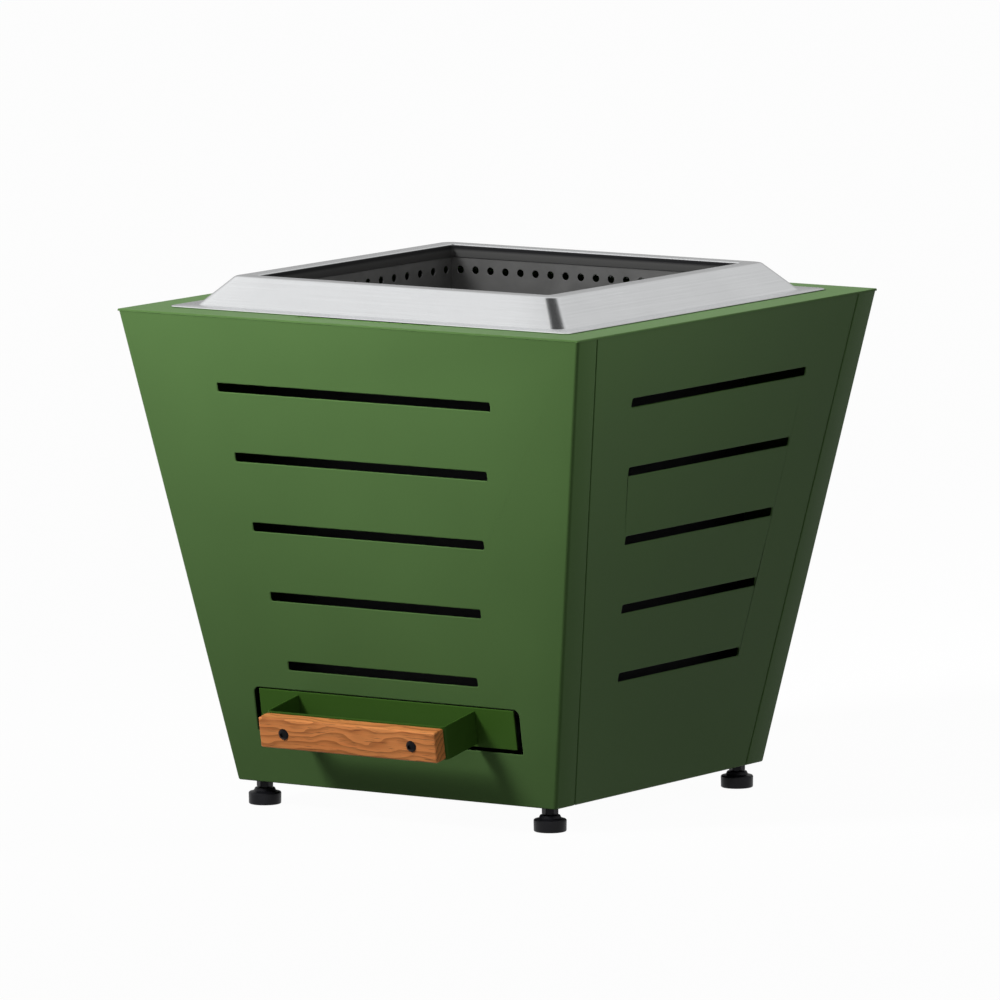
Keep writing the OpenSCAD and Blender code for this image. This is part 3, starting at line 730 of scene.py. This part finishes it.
def sheet_pieces():
    """The folded, cut and cast pieces, with the rounding of each one's edges in millimetres."""
    edges = {
        "front_panel": 1.1, "rear_panel": 1.1, "left_panel": 1.1, "right_panel": 1.1,
        "rim_frame": 1.1, "drawer_fascia": 0.8, "handle_bracket": 0.6,
        "chamber_front": 0.3, "chamber_rear": 0.3, "chamber_left": 0.3, "chamber_right": 0.3,
        "grate_ledge": 0.3, "fire_grate": 0.9, "ash_tray": 0.3,
        "left_runner": 0.3, "right_runner": 0.3, "base_plate": 0.4,
    }
    for node, edge in edges.items():
        softened(node, edge * MM)


def kept_nodes():
    """CAD nodes whose own shape shows get the finish of their slot."""
    for node, piece in frame["nodes"].items():
        if not piece.hide_render:
            piece.data.materials.clear()
            piece.data.materials.append(FINISHES[SLOT_OF[node]])


# ---- studio ----------------------------------------------------------------------------------

AZIMUTH = math.radians(33.72)
ELEVATION = math.radians(7.24)
ROLL = math.radians(-0.27)
DISTANCE = 10.743
SENSOR = 36.0
LENS = 421.9
SIDE_SHIFT = 1.7 * MM         # the housing's bottom centre lies this far right of the view's axis
DROP = 247.6 * MM             # and this far below it


def add_camera():
    back = np.array([math.sin(AZIMUTH) * math.cos(ELEVATION),
                     -math.cos(AZIMUTH) * math.cos(ELEVATION), math.sin(ELEVATION)])
    level = np.cross(-back, [0, 0, 1])
    level /= np.linalg.norm(level)
    upright = np.cross(level, -back)
    right = level * math.cos(ROLL) + upright * math.sin(ROLL)
    up = upright * math.cos(ROLL) - level * math.sin(ROLL)
    aim = np.array([0, 0, HOUSING_LOW])
    place = aim - SIDE_SHIFT * right + DROP * up + DISTANCE * back
    lens = bpy.data.cameras.new("camera")
    lens.lens = LENS
    lens.sensor_width = SENSOR
    lens.clip_start = 0.1
    lens.clip_end = 500
    camera = bpy.data.objects.new("camera", lens)
    bpy.context.scene.collection.objects.link(camera)
    camera.matrix_world = Matrix(np.vstack([np.column_stack([right, up, back, place]),
                                            [0, 0, 0, 1]]).tolist())
    bpy.context.scene.camera = camera


def seen_share(finish):
    """1 for rays from the camera, from gloss or through glass, and 0 for the rest."""
    path = "ShaderNodeLightPath"
    seen = finish.node(path, output="Is Camera Ray") + finish.node(path, output="Is Glossy Ray")
    return (seen + finish.node(path, output="Is Transmission Ray")).between(0, 1)


def add_world(ambient, rear, zenith, horizon):
    """White wherever it is seen, apart from a greyer side towards the rear, greyer still near
    the horizon, and a dark patch overhead, which metal mirrors; a plain grey level lights the
    object."""
    world = bpy.data.worlds.new("studio")
    bpy.context.scene.world = world
    finish = Finish("studio", world)
    spot = finish.node("ShaderNodeTexCoord", output="Generated")
    height = finish.node("ShaderNodeSeparateXYZ", {0: spot}, output=2)
    depth = finish.node("ShaderNodeSeparateXYZ", {0: spot}, output=1)
    overhead = height.between(0.86, 0.90)
    low = depth.between(0.2, 0.7) * (1 - height.between(0.25, 0.42))
    mirrored = (1 - depth.between(0.2, 0.7) * (1 - rear)) * (1 - overhead * (1 - zenith))
    mirrored = mirrored * (1 - low * (1 - horizon))
    seen = seen_share(finish)
    level = seen * mirrored + (1 - seen) * ambient
    light = finish.node("ShaderNodeBackground", {"Color": (1, 1, 1, 1), "Strength": level})
    finish.node("ShaderNodeOutputWorld", {"Surface": light})


def add_floor(pale, dark, white_share):
    """A floor that looks pale and keeps the object's shadow under a share of plain white, and
    throws little light up at the object."""
    side = 60
    mesh = bpy.data.meshes.new("floor")
    mesh.from_pydata([(-side, -side, 0), (side, -side, 0), (side, side, 0), (-side, side, 0)],
                     [], [(0, 1, 2, 3)])
    floor = bpy.data.objects.new("floor", mesh)
    bpy.context.scene.collection.objects.link(floor)
    finish = Finish("floor")
    seen = seen_share(finish)
    matt = finish.node("ShaderNodeBsdfDiffuse", {"Color": finish.blend(seen, dark, pale)})
    white = finish.node("ShaderNodeEmission", {"Color": (1, 1, 1, 1), "Strength": 1.0})
    mixed = finish.node("ShaderNodeMixShader", {0: seen * white_share, 1: matt, 2: white})
    finish.node("ShaderNodeOutputMaterial", {"Surface": mixed})
    mesh.materials.append(finish.owner)


def add_lamp(name, place, aim, size, power, spread=180):
    """A soft box whose own reflection doesn't show in metal; spread is the full angle in degrees
    that its grid lets out."""
    lamp = bpy.data.lights.new(name, "AREA")
    lamp.size = size
    lamp.energy = power
    lamp.spread = math.radians(spread)
    holder = bpy.data.objects.new(name, lamp)
    bpy.context.scene.collection.objects.link(holder)
    holder.visible_glossy = False
    holder.location = place
    holder.rotation_mode = "QUATERNION"
    holder.rotation_quaternion = (Vector(aim) - Vector(place)).to_track_quat("-Z", "Y")


fire_ring()
oak_bar()
handle_bolts()
handle_nuts()
for corner_name in CORNERS:
    foot_pad(corner_name)
    foot_stud(corner_name)
sheet_pieces()
kept_nodes()

bpy.context.scene.view_settings.view_transform = "Standard"
add_camera()
add_world(ambient=0.34, rear=0.67, zenith=0.04, horizon=0.62)
add_floor(pale=(0.9, 0.9, 0.9), dark=(0.12, 0.12, 0.12), white_share=0.97)
add_lamp("key", (-1.0, -1.9, 1.9), (-0.2, -0.2, 1.03), 0.7, 14, spread=43)
add_lamp("side", (1.3, 0.5, 1.5), (0.2, -0.25, 0.85), 0.4, 1.5, spread=42)
